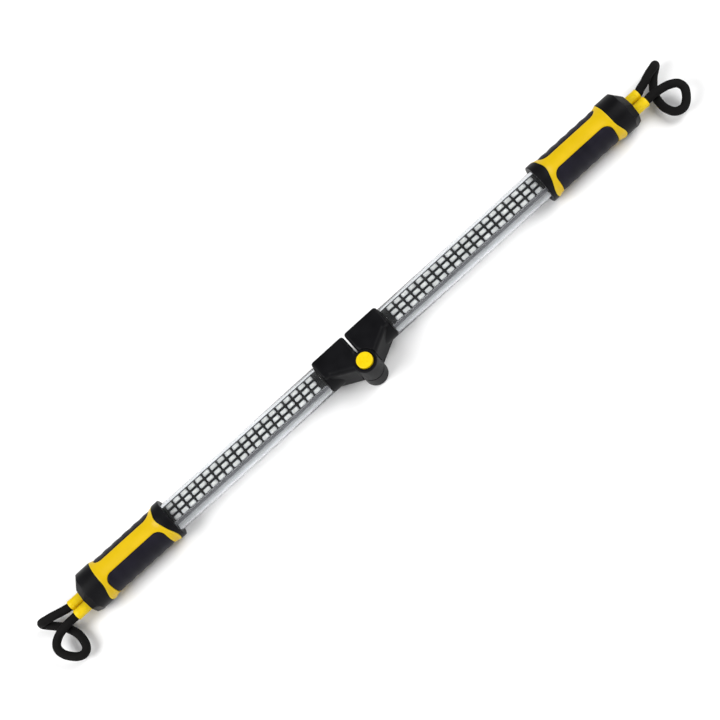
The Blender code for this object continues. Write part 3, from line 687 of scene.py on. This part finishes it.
def side_grips(side, sign):
    rows, segments = 120, 132
    for label, centre in (("upper", 90), ("lower", -90)):
        rings = []
        span = GRIP_HALF_ANGLE + 3
        for i in range(segments + 1):
            degrees = centre - span + 2 * span * i / segments
            angle = math.radians(degrees)
            outer = []
            for row in range(rows + 1):
                x = GRIP_START - 0.001 + (GRIP_END - GRIP_START + 0.002) * row / rows
                outer.append(along_x(sign * x, grip_radius(degrees, x, centre), angle))
            outer.append(along_x(sign * (GRIP_END + 0.001), POCKET_R - 0.3 * MM, angle))
            outer.append(along_x(sign * (GRIP_START - 0.001), POCKET_R - 0.3 * MM, angle))
            rings.append(outer)
        grip = loft(f"{side}_{label}_rubber_grip", rings)
        combine(grip, [("INTERSECT", window("trim", sign, centre, 0.25 * MM))])
        shade(grip, 35)
        dress(grip, GRIP, "grip_rubber", f"{side}_section", f"{side}_{label}_grip")


def black_flange(side, sign):
    """The ring at the handle's inner end, wavy where it meets the yellow shell."""
    segments = 180
    rings = []
    for i in range(segments):
        degrees = 360 * i / segments
        angle = math.radians(degrees)
        end = flange_edge(degrees) - 0.15 * MM
        profile = rounded([(FLANGE_START, TUBE_R + 0.3 * MM), (FLANGE_START, HANDLE_R),
                           (end, HANDLE_R), (end, TUBE_R + 0.3 * MM)], 0.9 * MM, 4, closed=True)
        ring = []
        for x, radius in profile:
            point = along_x(sign * x, radius, angle)
            point.z = max(point.z, 0.0)
            ring.append(point)
        rings.append(ring)
    flange = loft(f"{side}_black_flange", rings, loop=True)
    shade(flange, 40)
    dress(flange, BLACK, "black_plastic", f"{side}_section", f"{side}_flange")


def octagon(radius, angle, roundness):
    """Radius of a softened octagon at an angle."""
    off = (math.degrees(angle) + 22.5) % 45 - 22.5
    flat = radius / math.cos(math.radians(off))
    return flat + (radius * 1.03 - flat) * roundness


def end_cap(side, sign):
    """The faceted cap: round at the shell, bevelled to an off-centre octagonal face."""
    segments = 144
    face_r, shoulder = 13.8 * MM, CAP_END - 8.6 * MM
    rings = []
    stations = [("edge", 0.15, HANDLE_R - 0.5 * MM, 0.0, 1.0), ("edge", 0.6, HANDLE_R, 0.0, 1.0),
                ("edge", 3.0, HANDLE_R, 0.0, 1.0)]
    for i in range(9):
        t = i / 8
        stations.append(("x", shoulder - 1.2 * MM + 2.4 * MM * t,
                         HANDLE_R - 0.75 * MM * t ** 2, 0.07 * t, 1.0 - 0.75 * t))
    for t in (0.35, 0.6, 0.8, 0.92):
        stations.append(("x", shoulder + 1.2 * MM + (CAP_END - shoulder - 1.2 * MM) * t,
                         HANDLE_R - 0.75 * MM + (face_r - HANDLE_R + 0.75 * MM) * t,
                         0.07 + 0.93 * t, 0.25 * (1 - t)))
    stations += [("x", CAP_END - 0.35 * MM, face_r - 0.2 * MM, 1.0, 0.0),
                 ("x", CAP_END - 0.05 * MM, face_r - 0.8 * MM, 1.0, 0.0),
                 ("x", CAP_END, face_r - 1.4 * MM, 1.0, 0.0),
                 ("x", CAP_END, face_r * 0.6, 1.0, 0.0), ("x", CAP_END, 0.4 * MM, 1.0, 0.0)]
    for kind, place, radius, share, roundness in stations:
        ring = []
        for i in range(segments):
            angle = math.tau * i / segments
            x = cap_edge(math.degrees(angle)) + place * MM if kind == "edge" else place
            reach = octagon(radius, angle, roundness) if roundness < 1.0 else radius
            point = along_x(sign * x, min(reach, HANDLE_R), angle)
            point.y += HOOK_SHIFT[0] * share
            point.z += HOOK_SHIFT[1] * share
            point.z = max(point.z, 0.0)
            ring.append(point)
        rings.append(ring)
    cap = loft(f"{side}_faceted_cap", rings)
    shade(cap, 28)
    dress(cap, BLACK, "black_plastic", f"{side}_section", f"{side}_end_cap")


# ---------------------------------------------------------------- hooks
UPPER_Y = HOOK_SHIFT[0] + HOOK_HALF_SPACING
LOWER_Y = HOOK_SHIFT[0] - HOOK_HALF_SPACING
# the hooks' centre lines, the same numbers as in the CAD source: points from the upper collar
# round to the lower one, with X away from the knuckle and Y and Z from the tubes' axis. X and Y
# were solved by a separate program from a centre line picked by eye on the photo; only Z was set
# by hand
HOOK_BENDS = {
    "left": (
        (0.3471, 0.0034, -0.0028), (0.3545, 0.0049, -0.0023), (0.3633, 0.0073, -0.0020),
        (0.3711, 0.0093, -0.0024), (0.3749, 0.0107, -0.0038), (0.3774, 0.0123, -0.0070),
        (0.3780, 0.0121, -0.0102), (0.3758, 0.0095, -0.0116), (0.3696, 0.0029, -0.0120),
        (0.3645, -0.0028, -0.0120), (0.3606, -0.0091, -0.0119), (0.3572, -0.0167, -0.0116),
        (0.3559, -0.0252, -0.0112), (0.3570, -0.0338, -0.0102), (0.3611, -0.0376, -0.0095),
        (0.3659, -0.0371, -0.0088), (0.3711, -0.0333, -0.0078), (0.3764, -0.0263, -0.0064),
        (0.3780, -0.0194, -0.0054), (0.3759, -0.0144, -0.0044), (0.3701, -0.0109, -0.0030),
        (0.3619, -0.0090, -0.0018), (0.3540, -0.0082, -0.0019)),
    "right": (
        (0.3486, 0.0052, -0.0028), (0.3554, 0.0071, -0.0023), (0.3642, 0.0105, -0.0020),
        (0.3695, 0.0121, -0.0024), (0.3729, 0.0137, -0.0038), (0.3755, 0.0156, -0.0070),
        (0.3757, 0.0157, -0.0102), (0.3731, 0.0142, -0.0116), (0.3684, 0.0108, -0.0120),
        (0.3636, 0.0060, -0.0120), (0.3587, 0.0000, -0.0120), (0.3556, -0.0055, -0.0119),
        (0.3536, -0.0125, -0.0116), (0.3531, -0.0218, -0.0112), (0.3559, -0.0310, -0.0098),
        (0.3621, -0.0348, -0.0084), (0.3679, -0.0331, -0.0074), (0.3730, -0.0285, -0.0062),
        (0.3765, -0.0227, -0.0050), (0.3765, -0.0179, -0.0042), (0.3741, -0.0139, -0.0034),
        (0.3675, -0.0108, -0.0020), (0.3595, -0.0090, -0.0015), (0.3510, -0.0077, -0.0019)),
}


def hook_route(side, sign):
    ends = [[(x, y, HOOK_SHIFT[1]) for x in (0.3310, 0.3440)] for y in (UPPER_Y, LOWER_Y)]
    route = ends[0] + list(HOOK_BENDS[side]) + ends[1][::-1]
    return [Vector((sign * x, AXIS_Y + y, AXIS_Z + z)) for x, y, z in route]


def hook(side, sign):
    """The foam-covered hook, slightly uneven along its length, and its two collars."""
    path = smooth_path(hook_route(side, sign), 1.0 * MM)
    sides = 28
    rings, across = [], Vector((0.0, 0.0, 1.0))
    for i, point in enumerate(path):
        ahead = (path[min(i + 1, len(path) - 1)] - path[max(i - 1, 0)]).normalized()
        across = (across - ahead * across.dot(ahead)).normalized()
        other = ahead.cross(across)
        radius = HOOK_R * (1.0 - 0.012 + 0.012 * math.sin(i * 0.9) * math.sin(i * 0.23 + sign))
        ring = []
        for k in range(sides):
            turn = math.tau * k / sides
            ring.append(point + (across * math.cos(turn) + other * math.sin(turn)) * radius)
        rings.append(ring)
    sleeve = loft(f"{side}_foam_hook", rings)
    shade(sleeve, 60)
    dress(sleeve, FOAM, "hook_foam", f"{side}_section", f"{side}_hook_sleeve")
    for label in ("upper", "lower"):
        low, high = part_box(f"{side}_{label}_collar")
        centre = ((low[1] + high[1]) / 2 - AXIS_Y, (low[2] + high[2]) / 2 - AXIS_Z)
        start, end = min((low[0], high[0]), key=abs), sign * COLLAR_END[side]
        outer, bore = (high[1] - low[1]) / 2, 4.4 * MM
        step = (end - start) / 12
        profile = rounded([(start, bore), (start, outer - 0.15 * MM),
                           (start + step * 8.4, outer - 0.15 * MM), (start + step * 8.8, outer),
                           (end, outer), (end, bore)], 0.5 * MM, 4, closed=True)
        collar = turned_x(f"{side}_{label}_ferrule", profile, 72, centre)
        shade(collar)
        dress(collar, BRIGHT_YELLOW, "yellow_plastic", f"{side}_section",
              f"{side}_{label}_collar")


# ---------------------------------------------------------------- build
for side, sign in SIDES:
    clear_tube(side)
    led_array(side, sign)
    joint_housing(side, sign)
    handle_shells(side, sign)
    side_grips(side, sign)
    black_flange(side, sign)
    end_cap(side, sign)
    hook(side, sign)
release_button()
coil_spring()

CARRIED = {"led_board": MASK, "board_rail": ALUMINIUM, "joint_gasket": SEAL,
           "flange_seal": SEAL, "battery": CELL, "contact_plate": STEEL,
           "contact_spring": STEEL, "driver_board": MASK, "tact_switch": BLACK,
           "power_button": BLACK, "charge_socket": BLACK, "flange_screw": STEEL,
           "cap_screw": STEEL, "hook_wire": STEEL}
for side, _ in SIDES:
    for part_name, finish in CARRIED.items():
        node = frame["nodes"][f"{side}_{part_name}"]
        for material_slot in node.material_slots:
            material_slot.material = finish
for part_name in ("retaining_washer", "lock_gear", "pivot_bolt", "pivot_nut"):
    for material_slot in frame["nodes"][part_name].material_slots:
        material_slot.material = STEEL


# ---------------------------------------------------------------- stage, light and camera
def area_light(name, place, aim, size, power):
    """A rectangular soft light; its first size lies along X."""
    lamp = bpy.data.lights.new(name, "AREA")
    lamp.shape = "RECTANGLE"
    lamp.size, lamp.size_y = size
    lamp.energy = power
    light = bpy.data.objects.new(name, lamp)
    away = (Vector(place) - Vector(aim)).normalized()
    across = Vector((1.0, 0.0, 0.0))
    across = (across - away * across.dot(away)).normalized()
    other = away.cross(across)
    light.matrix_world = Matrix((
        (across.x, other.x, away.x, place[0]), (across.y, other.y, away.y, place[1]),
        (across.z, other.z, away.z, place[2]), (0.0, 0.0, 0.0, 1.0)))
    bpy.context.scene.collection.objects.link(light)


def studio_world():
    """Soft surround: pale at the horizon, dimmer overhead."""
    world = bpy.data.worlds.new("studio")
    world.use_nodes = True
    nodes, links = world.node_tree.nodes, world.node_tree.links
    where = nodes.new("ShaderNodeTexCoord")
    split = nodes.new("ShaderNodeSeparateXYZ")
    ramp = nodes.new("ShaderNodeMapRange")
    ramp.inputs["From Min"].default_value = 0.5
    ramp.inputs["From Max"].default_value = 1.0
    ramp.inputs["To Min"].default_value = 0.45
    ramp.inputs["To Max"].default_value = 0.16
    links.new(where.outputs["Generated"], split.inputs["Vector"])
    links.new(split.outputs["Z"], ramp.inputs["Value"])
    links.new(ramp.outputs["Result"], nodes["Background"].inputs["Strength"])
    nodes["Background"].inputs["Color"].default_value = (1.0, 1.0, 1.0, 1.0)
    bpy.context.scene.world = world


def stage():
    form = bmesh.new()
    bmesh.ops.create_grid(form, x_segments=1, y_segments=1, size=6.0)
    floor = from_form("floor", form)
    floor.location.z = -0.0002
    floor.data.materials.append(FLOOR)
    studio_world()
    bpy.context.scene.view_settings.view_transform = "Standard"
    middle = (0.0, 0.0, 0.0)
    area_light("left_softbox", (-1.5, 0.1, 1.5), middle, (1.3, 1.3), 36.0)
    area_light("right_softbox", (1.5, -0.1, 1.5), middle, (1.3, 1.3), 32.0)
    area_light("front_strip", (0.0, -1.6, 0.55), middle, (3.2, 0.26), 5.0)


CAMERA_ELEVATION = 64.0       # degrees above the floor, looking along +Y
CAMERA_ROLL = 42.1            # the light rises to the right by this much in the picture
CAMERA_DISTANCE = 1.40
CAMERA_FOCAL_MM = 77.8
AIM_RIGHT, AIM_DOWN = 3.54 * MM, 8.2 * MM   # picture centre, from the knuckle's axis point


def photo_camera():
    tilt, roll = math.radians(CAMERA_ELEVATION), math.radians(CAMERA_ROLL)
    towards = Vector((0.0, -math.cos(tilt), math.sin(tilt)))
    level_up = Vector((0.0, math.sin(tilt), math.cos(tilt)))
    along = Vector((1.0, 0.0, 0.0))
    right = along * math.cos(roll) - level_up * math.sin(roll)
    up = along * math.sin(roll) + level_up * math.cos(roll)
    centre = Vector((0.0, AXIS_Y, AXIS_Z)) + right * AIM_RIGHT - up * AIM_DOWN
    data = bpy.data.cameras.new("camera")
    data.lens = CAMERA_FOCAL_MM
    camera = bpy.data.objects.new("camera", data)
    place = centre + towards * CAMERA_DISTANCE
    camera.matrix_world = Matrix((
        (right.x, up.x, towards.x, place.x), (right.y, up.y, towards.y, place.y),
        (right.z, up.z, towards.z, place.z), (0.0, 0.0, 0.0, 1.0)))
    bpy.context.scene.collection.objects.link(camera)
    bpy.context.scene.camera = camera


stage()
photo_camera()
